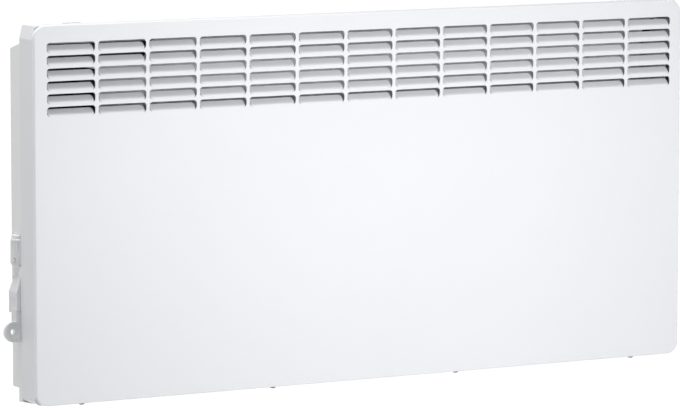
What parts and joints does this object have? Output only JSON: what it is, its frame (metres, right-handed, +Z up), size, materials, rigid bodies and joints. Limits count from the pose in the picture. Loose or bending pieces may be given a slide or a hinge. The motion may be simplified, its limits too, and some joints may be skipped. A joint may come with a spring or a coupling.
{
  "type": "wall panel convector heater",
  "caption": "Slim white wall-mounted electric panel heater with a louvred front, a thumbwheel thermostat and a pull-down wall lock on its left side.",
  "frame": {"origin": "middle of the four wall screws, on the wall's surface", "axes": "+X to the right across the front as seen from the room, +Y into the wall, +Z up; the heater lies at negative Y"},
  "size_m": [0.9141, 0.078, 0.4529],
  "materials": {
    "white_steel": "satin powder coat",
    "white_plastic": "satin",
    "dark_screw": "black zinc",
    "zinc": "bright zinc",
    "galvanised": "galvanised sheet",
    "spring_steel": "bright",
    "black_plastic": "matte",
    "dark_board": "insulating board",
    "cream_plastic": "matte",
    "copper": "dull copper",
    "ceramic": "glazed steatite",
    "rod_steel": "heat-dulled steel",
    "aluminium": "mill finish",
    "brown_wire": "matte",
    "blue_wire": "matte"
  },
  "bodies": {
    "heater": {"front_panel": "white_steel", "casing": "white_steel", "rear_band": "white_steel", "back_plate": "white_steel", "bottom_grille": "white_steel", "bottom_screws": "dark_screw", "back_screws": "zinc", "wall_rail_upper": "galvanised", "wall_rail_lower": "galvanised", "thermostat_body": "black_plastic", "thermostat_bracket": "galvanised", "sensor_tube": "copper", "sensor_clips": "black_plastic", "lock_housing": "white_plastic", "lock_spring": "spring_steel", "partition": "dark_board", "end_plate": "galvanised", "heat_shield": "galvanised", "air_guide": "galvanised", "front_shield": "galvanised", "ceramic_bushes": "ceramic", "heating_rod": "rod_steel", "element_fins": "aluminium", "overheat_cutout": "black_plastic", "terminal_block": "cream_plastic", "cord_gland": "black_plastic", "live_wire": "brown_wire", "switched_wire": "brown_wire", "heater_wire": "brown_wire", "neutral_wire": "blue_wire"},
    "dial": {"thermostat_dial": "white_plastic", "thermostat_spindle": "zinc"},
    "lock": {"lock_pull": "white_plastic"}
  },
  "joints": [
    {"name": "thermostat_turn", "type": "hinge", "parent": "heater", "child": "dial", "pos_m": [-0.4408, -0.0216, -0.029], "axis": [0, 0, 1], "range_deg": [-90, 180]},
    {"name": "lock_slide", "type": "slide", "parent": "heater", "child": "lock", "axis": [0, 0, -1], "range_m": [0, 0.008], "stiffness_N_per_m": 400, "springref_m": -0.005, "deforming": ["lock_spring"]}
  ]
}
